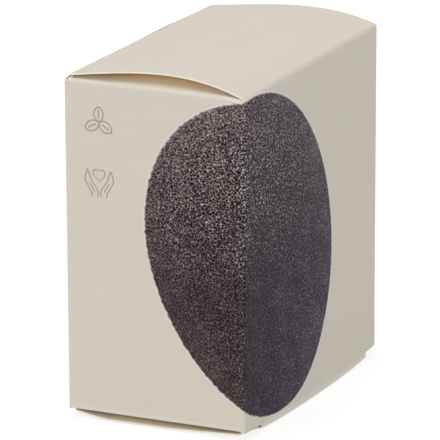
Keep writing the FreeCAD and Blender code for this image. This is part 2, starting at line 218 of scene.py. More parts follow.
# heart: the unit circle in x and y less a share of the root of x
mirrored = add_node(tree, "CombineXYZ", [palm_x, palm_y])
in_heart = add_node(tree, "Mapping", {"Vector": mirrored, "Location": (0.0, HEART_HEIGHT, 0.0),
                                      "Scale": (HEART_HALF, HEART_SQUAT * HEART_HALF, 1.0)},
                    vector_type="TEXTURE")
heart_x, heart_y, _ = add_node(tree, "SeparateXYZ", [in_heart]).outputs
heart_root = add_node(tree, "Math", [heart_x], operation="SQRT")
lobes = add_node(tree, "Math", [heart_root, -HEART_LOBES, heart_y], operation="MULTIPLY_ADD")
heart_place = add_node(tree, "CombineXYZ", [heart_x, lobes])
heart_reach = add_node(tree, "VectorMath", [heart_place], operation="LENGTH").outputs["Value"]
past_heart = add_node(tree, "Math", [heart_reach, 1.0], operation="SUBTRACT")
from_heart = add_node(tree, "Math", [past_heart], operation="ABSOLUTE")
figure_lines.append(add_node(tree, "Math", [from_heart, HEART_HALF], operation="MULTIPLY"))
nearest_line = figure_lines[0]
for figure_line in figure_lines[1:]:
    nearest_line = add_node(tree, "Math", [nearest_line, figure_line], operation="MINIMUM")
figure_edges = [share * FIGURE_LINE for share in FIGURE_EDGE_SHARES]
figure_mask = add_node(tree, "MapRange", [nearest_line, *figure_edges, 1.0, 0.0])
figured = add_node(tree, "MixRGB", [figure_mask, haloed, linear(FIGURE_INK)])
# strands over pores: borders of bent Voronoi cells, some lit and some not, drawn out towards the right
right_of_crease = add_node(tree, "Math", [flat_x, 0.0], operation="MAXIMUM")
rightward_run = add_node(tree, "CombineXYZ", [right_of_crease])
pore_place = add_node(tree, "VectorMath", [rightward_run, (-PORE_DRAW, 0.0, 0.0), flat_place],
                      operation="MULTIPLY_ADD")
sway = add_node(tree, "TexNoise", {"Vector": pore_place, "Scale": 1 / PORE_SPACING, "Detail": 1.0})
sway_reach = (STRAND_SWAY, STRAND_SWAY, 0.0)
bent_place = add_node(tree, "VectorMath", [sway.outputs["Color"], sway_reach, pore_place],
                      operation="MULTIPLY_ADD")
pores = add_node(tree, "TexVoronoi", {"Vector": bent_place, "Scale": 1 / PORE_SPACING},
                 feature="DISTANCE_TO_EDGE")
strand = add_node(tree, "MapRange", [pores.outputs["Distance"], 0.0, STRAND_WIDTH, 1.0, 0.0])
glint_noise = add_node(tree, "TexNoise", {"Vector": pore_place, "Scale": 1 / GLINT_SPACING, "Detail": 1.0})
glint = add_node(tree, "MapRange", [glint_noise, *MAIN_NOISE, *GLINTS])
relief = add_node(tree, "Math", [strand, glint, -GLINT_MEAN], operation="MULTIPLY_ADD")
# tone: relief times contrast plus level. Both grow with height above the picture's low part. Contrast dies
# away towards the right of the front and towards the picture's border, where the level lifts a little
contrast_rise = add_node(tree, "MapRange", [flat_x, 0.0, FRONT_RUN, *CONTRAST_RISES])
lit_half = add_node(tree, "MapRange", [flat_y, PICTURE_LOW, PICTURE_MID])
front_half = add_node(tree, "MapRange", [flat_x, *CREASE_REACH])
front_gain = add_node(tree, "Math", [front_half, FRONT_GAIN, 1.0], operation="MULTIPLY_ADD")
lit_rise = add_node(tree, "Math", [lit_half, front_gain], operation="MULTIPLY")
contrast = add_node(tree, "Math", [contrast_rise, lit_rise, CONTRAST], operation="MULTIPLY_ADD")
border = add_node(tree, "Math", [reach, BORDER_POWER], operation="POWER")
border_fade = add_node(tree, "Math", [border, -BORDER_FADE, 1.0], operation="MULTIPLY_ADD")
crease_fade = add_node(tree, "Math", [crease_wear, CREASE_GAIN, border_fade], operation="MULTIPLY_ADD")
steady_contrast = add_node(tree, "Math", [contrast, crease_fade], operation="MULTIPLY")
level_rise = add_node(tree, "MapRange", [flat_y, PICTURE_LOW, PICTURE_HIGH, 0.0, LEVEL_RISE])
patches = add_node(tree, "TexNoise", {"Vector": flat_place, "Scale": 1 / SHADE_PATCH, "Detail": 2.0})
shade = add_node(tree, "MapRange", [patches, *MAIN_NOISE, LEVEL - SHADE_RANGE, LEVEL + SHADE_RANGE])
inner_level = add_node(tree, "Math", [level_rise, shade], operation="ADD")
front_run = add_node(tree, "MapRange", [flat_x, 0.0, FRONT_RUN, *FRONT_SHADES])
front_level = add_node(tree, "Math", [front_half, front_run, inner_level], operation="MULTIPLY_ADD")
crease_level = add_node(tree, "Math", [crease_wear, CREASE_LIFT, front_level], operation="MULTIPLY_ADD")
level = add_node(tree, "Math", [border, BORDER_LIFT, crease_level], operation="MULTIPLY_ADD")
tone = add_node(tree, "Math", [relief, steady_contrast, level], operation="MULTIPLY_ADD")
warm_print = add_node(tree, "ValToRGB", [tone])
sheen_print = add_node(tree, "ValToRGB", [tone])
for ramp, greys in ((warm_print.color_ramp, WARM_GREYS), (sheen_print.color_ramp, SHEEN_GREYS)):
    ramp.elements[0].color = linear(greys[0])
    ramp.elements[1].color = linear(greys[-1])
    for number, grey in enumerate(greys[1:-1], 1):
        ramp.elements.new(number / (len(greys) - 1)).color = linear(grey)
# painted cool sheen: right of the crease the print turns to the cooler greys for the front's gloss, less so
# high up
sheen_side = add_node(tree, "MapRange", [flat_x, *SHEEN_REACH])
sheen_height = add_node(tree, "MapRange", [lit_half, 0.0, 1.0, 1.0, HIGH_SHEEN])
painted_sheen = add_node(tree, "Math", [sheen_side, sheen_height], operation="MULTIPLY")
print_colour = add_node(tree, "MixRGB", [painted_sheen, warm_print, sheen_print])
board_colour = add_node(tree, "MixRGB", [picture_mask, figured, print_colour])
dullness = add_node(tree, "MapRange", [mottle, *MAIN_NOISE, *ROUGHNESS])
gloss = add_node(tree, "MapRange", [picture_mask, 0.0, 1.0, PAPER_GLOSS, INK_GLOSS])
tooth = add_node(tree, "TexNoise", {"Vector": flat_place, "Scale": 1 / TOOTH, "Detail": 2.0})
tooth_bump = add_node(tree, "Bump", {"Height": tooth, "Strength": TOOTH_STRENGTH,
                                     "Distance": TOOTH_DEPTH * MM})
for socket, made in (("Base Color", board_colour), ("Roughness", dullness), ("Specular IOR Level", gloss),
                     ("Normal", tooth_bump)):
    tree.links.new(made.outputs[0], surface.inputs[socket])

# Uncoated board: the bare cream back of the sheet, dull, with short fibres pressed into it. Real fibres are
# too fine to show, so they are drawn wider.
BARE = "#EDE0C9"
BARE_SHADE = "#E0D0B4"
FIBRE_LENGTH, FIBRE_WIDTH = 2.4, 0.4
FIBRE_DEPTH, FIBRE_STRENGTH = 0.06, 0.25
bare_board, tree, surface = new_material("uncoated_board_back")
place = add_node(tree, "Attribute", attribute_name="flat_place").outputs["Vector"]
fibre_place = add_node(tree, "Mapping", {"Vector": place, "Scale": (1 / FIBRE_LENGTH, 1 / FIBRE_WIDTH, 1.0)})
fibres = add_node(tree, "TexNoise", {"Vector": fibre_place, "Scale": 1.0, "Detail": 4.0})
fibre_colour = add_node(tree, "MixRGB", [fibres, linear(BARE), linear(BARE_SHADE)])
fibre_bump = add_node(tree, "Bump", {"Height": fibres, "Strength": FIBRE_STRENGTH,
                                     "Distance": FIBRE_DEPTH * MM})
tree.links.new(fibre_colour.outputs[0], surface.inputs["Base Color"])
tree.links.new(fibre_bump.outputs["Normal"], surface.inputs["Normal"])
surface.inputs["Roughness"].default_value = 0.9
surface.inputs["Specular IOR Level"].default_value = 0.2

# Cut edge of the board: pressed pulp, paler than the ink, with fine darker flecks between its plies.
PULP = "#EAE2D5"
PULP_FLECK = "#CDBFA9"
PLY, FLECK_NOISE = 0.15, (0.5, 0.8)
cut_edge, tree, surface = new_material("die_cut_pulp_edge")
place = add_node(tree, "TexCoord").outputs["Object"]
plies = add_node(tree, "TexNoise", {"Vector": place, "Scale": 1 / (PLY * MM), "Detail": 2.0})
fleck = add_node(tree, "MapRange", [plies, *FLECK_NOISE])
pulp_colour = add_node(tree, "MixRGB", [fleck, linear(PULP), linear(PULP_FLECK)])
tree.links.new(pulp_colour.outputs[0], surface.inputs["Base Color"])
surface.inputs["Roughness"].default_value = 0.95
surface.inputs["Specular IOR Level"].default_value = 0.1

SHARP_ANGLE = math.radians(40)
BACK_LEAN, BACK_TWIST, FRONT_TWIST = (0.15, 0.8), 1.6, 0.55
FRONT_BELLY, BELLY_REACH = 1.0, 10.0


def racked(points):
    """Points of the squared-up carton moved as it stands, a little out of square: its back leans out at the
    top left and in at the top right, and its front comes forward at the right, by amounts that change evenly
    across it. The front also bellies out along its foot, flat across the middle and dying away upwards as a
    bell curve.
    """
    moved = points.copy()
    across = (points[..., 0] - WEST) / WIDTH
    depth = (points[..., 1] - SOUTH) / DEPTH
    height = points[..., 2] / CROWN
    lean = BACK_LEAN[0] + BACK_LEAN[1] * height
    belly = FRONT_BELLY * (1 - (2 * across - 1) ** 4) * np.exp(-(points[..., 2] / BELLY_REACH) ** 2)
    moved[..., 1] += lean * (1 - BACK_TWIST * across) * depth - (FRONT_TWIST * across + belly) * (1 - depth)
    return moved


def board_piece(name, outer, flat, wear, node, gap_shade=0.0):
    """A closed thin board from a grid of points on its printed face, in millimetres.

    Rows go up and columns go right as seen from the printed side, so the printed face looks along right x up.
    The bare face is the printed one moved back along its normals by the board's thickness, and a rim of quads
    closes the cut edge between them. flat is each point's place on the flat blank, and wear is how much its
    crease has stretched the ink. The last argument is the share of painted warm shade that tints the board
    tan.
    """
    rows, columns = outer.shape[:2]
    count = rows * columns
    outer = racked(outer)
    normal = np.cross(np.gradient(outer, axis=1), np.gradient(outer, axis=0))
    normal /= np.linalg.norm(normal, axis=2, keepdims=True)
    points = np.concatenate([outer.reshape(-1, 3), (outer - BOARD * normal).reshape(-1, 3)])
    index = np.arange(count).reshape(rows, columns)
    printed_face = np.stack([index[:-1, :-1], index[:-1, 1:], index[1:, 1:], index[1:, :-1]], -1)
    printed_face = printed_face.reshape(-1, 4)
    loop = np.concatenate([index[0], index[1:, -1], index[-1, -2::-1], index[-2:0:-1, 0]])
    ahead = np.roll(loop, -1)
    rim = np.stack([ahead, loop, loop + count, ahead + count], -1)
    faces = np.concatenate([printed_face, printed_face[:, ::-1] + count, rim])
    mesh = bpy.data.meshes.new(name)
    mesh.from_pydata((points * MM).tolist(), [], faces.tolist())
    for material in (laminated, bare_board, cut_edge):
        mesh.materials.append(material)
    kinds = np.repeat([0, 1, 2], [len(printed_face), len(printed_face), len(rim)])
    mesh.polygons.foreach_set("material_index", kinds.astype(np.int32))
    mesh.polygons.foreach_set("use_smooth", np.ones(len(faces), bool))
    mesh.set_sharp_from_angle(angle=SHARP_ANGLE)
    place = np.zeros((rows, columns, 3))
    place[..., :2] = flat
    places = np.tile(place.reshape(-1, 3), (2, 1)).astype(np.float32)
    mesh.attributes.new("flat_place", "FLOAT_VECTOR", "POINT").data.foreach_set("vector", places.ravel())
    for attribute, values in (("crease_wear", wear), ("gap_shade", gap_shade)):
        both_faces = np.tile(np.broadcast_to(values, (rows, columns)).ravel(), 2).astype(np.float32)
        mesh.attributes.new(attribute, "FLOAT", "POINT").data.foreach_set("value", both_faces)
    mesh.update()
    piece = bpy.data.objects.new(name, mesh)
    bpy.context.scene.collection.objects.link(piece)
    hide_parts(node)
    return piece


def spread(*stops):
    """Places along a line: each stop is (end, steps), with that many steps in the stretch before it."""
    stretches = [np.linspace(a, b, steps + 1)[1:] for (a, _), (b, steps) in zip(stops, stops[1:])]
    return np.concatenate([[stops[0][0]], *stretches])


WALL_ROWS = np.linspace(0, 1, 13)
CREASE_WEAR, CREASE_WIDTH = 0.4, 0.9


def wall_piece(name, corner, facing, length, along, low, high, blank_start, bends, node):
    """One upright wall: a straight line in plan, turning through an eighth of a circle at each creased end.

    The place at distance a along the wall is corner + right * a, held to the bend's start and swung round the
    bend's centre beyond it. Upwards it runs straight from low(a) to high(a).
    """
    facing = np.array([*facing, 0.0])
    right = np.array([-facing[1], facing[0], 0.0])
    start_bend, end_bend = (CORNER if bent else 1e-6 for bent in bends)
    turn = np.clip((along - length + end_bend) / end_bend, 0, 1)
    turn -= np.clip((start_bend - along) / start_bend, 0, 1)
    angle = turn * math.pi / 4
    held = np.clip(along, start_bend if bends[0] else 0, length - (end_bend if bends[1] else 0))
    radius = np.where(turn < 0, start_bend, end_bend) * (np.abs(turn) > 0)
    swing = radius[:, None] * (np.cos(angle)[:, None] * facing + np.sin(angle)[:, None] * right)
    plan = np.array([*corner, 0.0]) + held[:, None] * right + swing - radius[:, None] * facing
    height = low + WALL_ROWS[:, None] * (high - low)
    outer = np.broadcast_to(plan, (len(WALL_ROWS), len(along), 3)).copy()
    outer[..., 2] = height
    flat = np.stack([np.broadcast_to(blank_start + along, height.shape), height - FOOT], -1)
    wear = CREASE_WEAR * np.exp(-(np.minimum(along, length - along) / CREASE_WIDTH) ** 2)
    piece = board_piece(name, outer, flat, wear, node)
    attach(piece, "carton_tube")


STEP = 0.2
LID_SEAM = CROWN - 2.3
BASE_SEAM = FOOT + 1.3
POST_TOP = CROWN + 0.1
FOOT_RUN, FOOT_END_RUN = 6.1, 4.0
FOOT_RISES = (-0.2, 0.0, -0.25, 1.3, 1.3, 0.3, 0.2, 0.4, 0.6)
NOTCH_RUN = 3.3
fold_start = FOOT_RUN + NOTCH_RUN
fold_end = WIDTH - FOOT_END_RUN - NOTCH_RUN
along = spread((0, 0), (CORNER, ARC_STEPS), (CORNER + STEP, 1), (FOOT_RUN, 4), (FOOT_RUN + STEP, 1),
               (fold_start - STEP, 4), (fold_start, 1), (fold_end, 40), (fold_end + STEP, 1),
               (WIDTH - FOOT_END_RUN - STEP, 4), (WIDTH - FOOT_END_RUN, 1), (WIDTH - CORNER - STEP, 3),
               (WIDTH - CORNER, 1), (WIDTH, ARC_STEPS))
foot_line = np.interp(along, [0, FOOT_RUN, fold_start - STEP, fold_start, fold_end, fold_end + STEP,
                              WIDTH - FOOT_END_RUN, WIDTH - CORNER, WIDTH],
                      FOOT + np.array(FOOT_RISES))
top_line = np.interp(along, [0, CORNER, CORNER + STEP, WIDTH - CORNER - STEP, WIDTH - CORNER, WIDTH],
                     [POST_TOP, POST_TOP, LID_SEAM, LID_SEAM, POST_TOP, POST_TOP])
wall_piece("front_panel_board", (WEST, SOUTH), (0, -1), WIDTH, along, foot_line, top_line, 0.0,
           (True, True), "front_panel")

# Left side panel: the wall at the left of the view. Its top and bottom edges are creased into the dust flaps,
# and beside each flap a short ear of the wall stands up to the corner.
FLAP_SEAM = 1.5
FLAP_FRONT, FLAP_REAR = SOUTH + CORNER, NORTH - CORNER
front_ear = FLAP_FRONT - SOUTH
rear_ear = NORTH - FLAP_REAR
left_along = spread((0, 0), (CORNER, ARC_STEPS), (rear_ear + STEP, 1),
                    (DEPTH - front_ear - STEP, 24), (DEPTH - front_ear, 1), (DEPTH, ARC_STEPS))
ear_stops = [0, rear_ear, rear_ear + STEP, DEPTH - front_ear - STEP, DEPTH - front_ear, DEPTH]
left_drops = (0.0, 0.4, FLAP_SEAM, FLAP_SEAM, 0.3, CROWN - POST_TOP)
left_rises = (0.0, 0.2, FLAP_SEAM, FLAP_SEAM, 0.1, -0.2)
left_top = np.interp(left_along, ear_stops, CROWN - np.array(left_drops))
left_foot = np.interp(left_along, ear_stops, FOOT + np.array(left_rises))
wall_piece("left_side_panel_board", (WEST, NORTH), (-1, 0), DEPTH, left_along, left_foot,
           left_top, -DEPTH, (True, True), "left_side_panel")

# Right side panel: the same wall of printed board on the far side. It ends raw at the back, where it is glued
# over the glue flap, and its rear ears are trimmed lower.
REAR_TRIM = 0.8
right_length = right_high[1] - SOUTH
right_along = spread((0, 0), (CORNER, ARC_STEPS), (front_ear + STEP, 1),
                     (DEPTH - rear_ear - STEP, 24), (DEPTH - rear_ear, 1), (right_length, 2))
ear_stops = [0, front_ear, front_ear + STEP, DEPTH - rear_ear - STEP, DEPTH - rear_ear, right_length]
right_drops = (CROWN - POST_TOP, 0.0, FLAP_SEAM, FLAP_SEAM, REAR_TRIM, REAR_TRIM)
right_rises = (0.0, 0.0, FLAP_SEAM, FLAP_SEAM, 0.0, 0.0)
right_top = np.interp(right_along, ear_stops, CROWN - np.array(right_drops))
right_foot = np.interp(right_along, ear_stops, FOOT + np.array(right_rises))
wall_piece("right_side_panel_board", (EAST, SOUTH), (1, 0), right_length, right_along,
           right_foot, right_top, WIDTH, (True, False), "right_side_panel")

# Back panel: a plain wall with raw top and bottom edges, creased into the left side panel at one end and into
# the glue flap at the other, just inside the right side panel.
glue_low, glue_high = (np.array(corner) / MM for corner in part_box("glue_flap"))
GLUE_FILM = 0.05
GLUE_FACE = EAST - BOARD - GLUE_FILM
BACK_STOPS = (0.0, 3.0, 6.0, 12.0, 28.0, 55.0, 70.0, 79.0)
BACK_RISES = (0.0, 0.35, 0.25, 0.35, 0.22, 0.17, -0.26, -1.0)
BACK_FINE_RUN, BACK_FINER_RUN = 12.0, 6.0
back_length = GLUE_FACE - WEST
back_along = spread((0, 0), (CORNER, ARC_STEPS), (back_length - BACK_FINE_RUN, 24),
                    (back_length - BACK_FINER_RUN, 3), (back_length - CORNER, 4),
                    (back_length, ARC_STEPS))
back_top = CROWN + np.interp(back_length - back_along, BACK_STOPS, BACK_RISES)
wall_piece("back_panel_board", (GLUE_FACE, NORTH), (0, 1), back_length, back_along,
           np.full_like(back_along, FOOT), back_top, -DEPTH - back_length,
           (True, True), "back_panel")

# Glue flap: a narrow strip of the same sheet, turned in from the back panel and glued inside the right side
# panel. Its ends are cut short and slanted.
GLUE_SLANT = 2.0
glue_length = NORTH - glue_low[1]
glue_along = spread((0, 0), (glue_length - CORNER, 8), (glue_length, ARC_STEPS))
slant = GLUE_SLANT * (1 - glue_along / glue_length)
wall_piece("glue_flap_board", (GLUE_FACE, glue_low[1]), (1, 0), glue_length, glue_along,
           glue_low[2] + slant, glue_high[2] - slant, -DEPTH - back_length - glue_length,
           (False, True), "glue_flap")

# Dust flaps: four short flaps of the same board, creased to the side panels and folded in under the lid and
# over the base. Each is mitred beside the front crease, and shouldered and tapered at the back. The upper two
# turn tan away from their crease, a painted warm shade for the gap under the lid. They spring up against the
# lid, which bows highest along its left cut edge.
DUST_LENGTH = 20.0
DUST_BEND = 1.1
DUST_SHOULDER, DUST_TAPER = 8.0, 5.0
FLAP_SLACK = 0.15
SPRING_RUN, SPRING_END_RUN, SPRING_EASE = 8.0, 3.0, 10.0
DUST_REAR_CUT = 1.5
GAP_SHADE_START, GAP_SHADE_RUN, GAP_SHADE_SHARE = 0.4, 3.2, 0.95
DUST_TOP_WEAR, DUST_LOW_WEAR = (0.25, 0.0, 1.0), (0.9, -0.7, 0.5)
FLAP_SHARE = np.linspace(0, 1, 33)
TUCK_LINE = NORTH - 1.5
LID_HALF = WIDTH / 2 - 0.5
LID_CORNERS, LID_REARS = (CROWN + 0.05, CROWN + 0.3), (CROWN + 1.4, CROWN + 0.4)
LID_BOWS, LID_SKEWS = (3.45, 2.55), (0.75, 1.0)


def lid_line(x):
    """The lid at x: heights of its crease and rear fold, bow and skew, each changing evenly across it."""
    share = (x + LID_HALF) / (2 * LID_HALF)
    return [first + share * (last - first) for first, last in (LID_CORNERS, LID_REARS, LID_BOWS, LID_SKEWS)]


def lid_height(x, y):
    """Height of the lid's printed face: a line from its crease to its tuck fold, plus a skewed parabola."""
    front, rear, bow, skew = lid_line(x)
    share = (y - SOUTH) / (TUCK_LINE - SOUTH)
    return front + share * (rear - front) + bow * 4 * share * (1 - share) * (1 + skew * (0.5 - share))


def dust_piece(name, side, end, node):
    """One dust flap with its crease: a profile up the wall, round the bend and along the flap, carried from
    the flap's front edge to its rear edge. Beyond the bend a flap under the lid rises as a parabola until it
    lies just below the lid. side is -1 at the left and 1 at the right; end is 1 at the top and -1 at the
    bottom.
    """
    def spring_run(y):
        return np.interp(y, [FLAP_FRONT, FLAP_FRONT + SPRING_EASE, FLAP_REAR - SPRING_EASE, FLAP_REAR],
                         [SPRING_END_RUN, SPRING_RUN, SPRING_RUN, SPRING_END_RUN])

    def spring(y):
        room = lid_height(side * (EAST - spring_run(y)), y) - BOARD - FLAP_SLACK - CROWN
        return np.clip(room, 0, None) if end > 0 else 0 * y

    share = FLAP_SHARE if side * end > 0 else FLAP_SHARE[::-1]
    crease_y = FLAP_FRONT + FLAP_SLACK + share * (FLAP_REAR - FLAP_FRONT - 2 * FLAP_SLACK)
    lean = np.arctan(2 * spring(crease_y) / spring_run(crease_y))
    turn = math.pi / 2 - lean
    setback = DUST_BEND * np.tan(turn / 2)
    wall = -FLAP_SEAM + np.linspace(0, 1, 4)[:, None] * (FLAP_SEAM - setback)
    swing = np.linspace(0, 1, 2 * ARC_STEPS)[1:, None] * turn
    bend_end = setback * np.cos(lean)
    reach = bend_end + np.linspace(0, 1, 26)[1:, None] * (DUST_LENGTH - bend_end)
    beyond = reach - bend_end
    front_edge = FLAP_FRONT + FLAP_SLACK + beyond
    narrowing = np.clip(beyond - DUST_SHOULDER, 0, None) * DUST_TAPER / (DUST_LENGTH - DUST_SHOULDER)
    narrowing = narrowing + np.clip(beyond, 0, DUST_REAR_CUT)
    flap_y = front_edge + share * (FLAP_REAR - FLAP_SLACK - narrowing - front_edge)
    flap_rise = spring(flap_y) * (1 - (1 - np.clip(reach / spring_run(flap_y), 0, 1)) ** 2)
    inward = np.concatenate([0 * wall, DUST_BEND * (1 - np.cos(swing)), reach])
    climb = np.concatenate([wall, DUST_BEND * np.sin(swing) - setback, flap_rise])
    y = np.concatenate([np.broadcast_to(crease_y, (len(wall) + len(swing), len(share))), flap_y])
    outer = np.stack([side * (EAST - inward), y, (CROWN if end > 0 else FOOT) + end * climb], -1)
    run = np.concatenate([wall, DUST_BEND * (swing - turn / 2), reach])
    blank_x = y - SOUTH
    flat = np.stack([WIDTH + blank_x if side > 0 else -blank_x, (HEIGHT if end > 0 else 0) + end * run], -1)
    most_wear, wear_run, wear_width = DUST_TOP_WEAR if end > 0 else DUST_LOW_WEAR
    wear = most_wear * np.exp(-((run - wear_run) / wear_width) ** 2)
    # painted warm shade: on the upper flaps only, it grows over a few millimetres from just past the crease
    gap_shade = GAP_SHADE_SHARE * np.clip((run - GAP_SHADE_START) / GAP_SHADE_RUN, 0, 1) if end > 0 else 0.0
    piece = board_piece(name, outer, flat, wear, node, gap_shade)
    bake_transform(piece)


dust_piece("base_left_dust_flap_board", -1, -1, "base_left_dust_flap")
dust_piece("base_right_dust_flap_board", 1, -1, "base_right_dust_flap")
dust_piece("left_dust_flap_board", -1, 1, "left_dust_flap")
dust_piece("right_dust_flap_board", 1, 1, "right_dust_flap")

# Base panel: the bottom flap of the same board, folded under from the front panel between the two notches,
# with its front corners cut back. Its fold hangs a little in the middle, and the spring of the dust flaps
# presses its side margins down to the floor.
BASE_SIDE_GAP = 0.5
BASE_BEND = 0.9
BASE_RELIEF, BASE_CORNER_CUT, NOTCH_GAP = 0.3, 0.5, 0.1
BASE_MARGIN, BASE_CROWN = 6.0, 0.9
FOLD_END_LIFT, FOLD_MID_LIFT, WING_LIFT = 0.75, 0.02, 0.65
WING_RUN = 3.0
BASE_TILT = 0.4
BASE_FLAT_FRONT, BASE_FLAT_REAR = 0.0, 12.0
BASE_REAR_LIFT = FOOT - 0.54
BASE_END = NORTH - 1.6
BASE_FINE_RUN = 4.0
FRONT_SAG_POWER, REAR_SAG_POWER = 1.3, 1.5
BASE_WEAR_RUN, BASE_WEAR_WIDTH = 2.6, 0.9
base_span = np.linspace(-1, 1, 61)
rise = np.linspace(BASE_SEAM, FOOT, 5)
swing = np.linspace(0, math.pi / 2, 2 * ARC_STEPS)[1:]
back_run = spread((SOUTH + BASE_BEND, 0), (SOUTH + BASE_FINE_RUN, 10), (BASE_END, 44))[1:]
fold_west, fold_east = WEST + fold_start, WEST + fold_end
back_y = np.concatenate([np.full_like(rise, SOUTH), SOUTH + BASE_BEND * (1 - np.cos(swing)), back_run])
cut_back = np.clip((back_y - SOUTH - BASE_BEND - BASE_RELIEF) / BASE_CORNER_CUT, 0, 1)
west_edge = fold_west + NOTCH_GAP + cut_back * (WEST + BASE_SIDE_GAP - fold_west - NOTCH_GAP)
east_edge = fold_east - NOTCH_GAP + cut_back * (EAST - BASE_SIDE_GAP - fold_east + NOTCH_GAP)
base_x = west_edge[:, None] + (base_span + 1) / 2 * (east_edge - west_edge)[:, None]
base_y = back_y[:, None]
fold_share = np.clip((base_x - fold_west) / (fold_east - fold_west), 0, 1)
fold_lift = FOLD_END_LIFT + (FOLD_MID_LIFT - FOLD_END_LIFT) * 4 * fold_share * (1 - fold_share)
fold_lift += WING_LIFT * np.clip(np.maximum(fold_west - base_x, base_x - fold_east) / WING_RUN, 0, 1)
wall_share = np.concatenate([(rise - FOOT) / (BASE_SEAM - FOOT), 0 * swing, 0 * back_run])[:, None]
fold_drop = np.concatenate([0 * rise, np.sin(swing), np.ones_like(back_run)])[:, None]
front_settle = np.clip((base_y - SOUTH - BASE_BEND) / (BASE_FLAT_FRONT - SOUTH - BASE_BEND), 0, 1)
rear_settle = np.clip((base_y - BASE_FLAT_REAR) / (BASE_END - BASE_FLAT_REAR), 0, 1)
margin = np.clip((EAST - BASE_SIDE_GAP - np.abs(base_x)) / BASE_MARGIN, 0, 1)
crowning = BASE_CROWN * (1 - (1 - margin) ** 2) * front_settle * (1 - rear_settle)
tilt = BASE_TILT * (EAST - base_x) / WIDTH * front_settle * (1 - rear_settle)
front_sag = fold_lift * (1 - front_settle) ** FRONT_SAG_POWER
sag = front_sag + BASE_REAR_LIFT * rear_settle ** REAR_SAG_POWER + crowning + tilt
top_of_bend = fold_lift + BASE_BEND
base_z = np.where(fold_drop > 0, np.where(fold_drop < 1, top_of_bend - BASE_BEND * fold_drop, sag),
                  top_of_bend + wall_share * (BASE_SEAM - top_of_bend))
base_outer = np.stack([base_x, np.broadcast_to(base_y, base_x.shape), base_z], -1)[:, ::-1]
base_steps = np.linalg.norm(np.diff(base_outer[:, len(base_span) // 2, 1:], axis=0), axis=1)
base_run = np.concatenate([[0], np.cumsum(base_steps)])
base_flat = np.stack([base_outer[..., 0] - WEST,
                      np.broadcast_to((BASE_SEAM - FOOT - base_run)[:, None], base_x.shape)], -1)
base_wear = np.exp(-((base_run - BASE_WEAR_RUN) / BASE_WEAR_WIDTH) ** 2)[:, None]
base_board = board_piece("base_panel_board", base_outer, base_flat, base_wear, "base_panel")
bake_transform(base_board)

# Lid panel: the top flap of the same board, folded back from the front panel in a soft bend. It springs up
# between its crease and its tuck fold, higher along its left cut edge than along its right one.
LID_BENDS = (2.4, 2.1, 1.1)
LID_END = TUCK_LINE - 0.4
LID_WEAR, LID_WEAR_RUN, LID_WEAR_WIDTH = 0.2, 2.5, 1.2
lid_span = np.linspace(-LID_HALF, LID_HALF, 41)
front, rear, bow, skew = lid_line(lid_span)
slope = np.arctan((rear - front + bow * 4 * (1 + skew / 2)) / (TUCK_LINE - SOUTH))
lid_turn = math.pi / 2 - slope
bend_left, bend_middle, bend_right = LID_BENDS
bend_outer = np.where(lid_span < 0, bend_left, bend_right)
bend = bend_middle + (bend_outer - bend_middle) * (lid_span / LID_HALF) ** 4
setback = bend * np.tan(lid_turn / 2)
rise = np.linspace(0, 1, 4)[:, None]
swing = np.linspace(0, 1, 2 * ARC_STEPS)[1:, None] * lid_turn
run = np.linspace(0, 1, 60)[1:, None]
bend_end = SOUTH + setback * np.cos(slope)
run_y = bend_end + run * (LID_END - bend_end)
lid_y = np.concatenate([np.broadcast_to(SOUTH, (len(rise), len(lid_span))),
                        SOUTH + bend * (1 - np.cos(swing)), run_y])
lid_z = np.concatenate([LID_SEAM + rise * (front - setback - LID_SEAM),
                        front - setback + bend * np.sin(swing), lid_height(lid_span, run_y)])
lid_outer = np.stack([np.broadcast_to(lid_span, lid_y.shape), lid_y, lid_z], -1)
narrow = np.linspace(1, 0, len(rise) + len(swing)) ** 2
lid_outer[:len(narrow), :, 0] *= 1 - (1 - (WIDTH / 2 - CORNER - STEP) / LID_HALF) * narrow[:, None]
lid_steps = np.linalg.norm(np.diff(lid_outer[:, len(lid_span) // 2, 1:], axis=0), axis=1)
lid_run = np.concatenate([[0], np.cumsum(lid_steps)])
lid_flat = np.stack([lid_outer[..., 0] - WEST,
                     np.broadcast_to((LID_SEAM - FOOT + lid_run)[:, None], lid_y.shape)], -1)
lid_wear = LID_WEAR * np.exp(-((lid_run - LID_WEAR_RUN) / LID_WEAR_WIDTH) ** 2)[:, None]
lid_board = board_piece("lid_panel_board", lid_outer, lid_flat, lid_wear, "lid_panel")
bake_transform(lid_board)

# Tuck flaps: the ends of the lid and of the base, of the same board, folded once more and tucked in behind
# the back panel. Each leans inwards and has two rounded free corners.
TUCK_LENGTH, TUCK_ROUND = 12.0, 6.0
TUCK_LEAN = math.radians(10)
TUCK_BEND = 0.9
TUCK_SIDE_GAP, TUCK_GAP_SHARE, TUCK_TAPER = 1.5, 0.6, 1.5
TUCK_WEAR, TUCK_WEAR_RUN, TUCK_WEAR_WIDTH = 0.3, 0.7, 0.8
OFF_PICTURE = 200


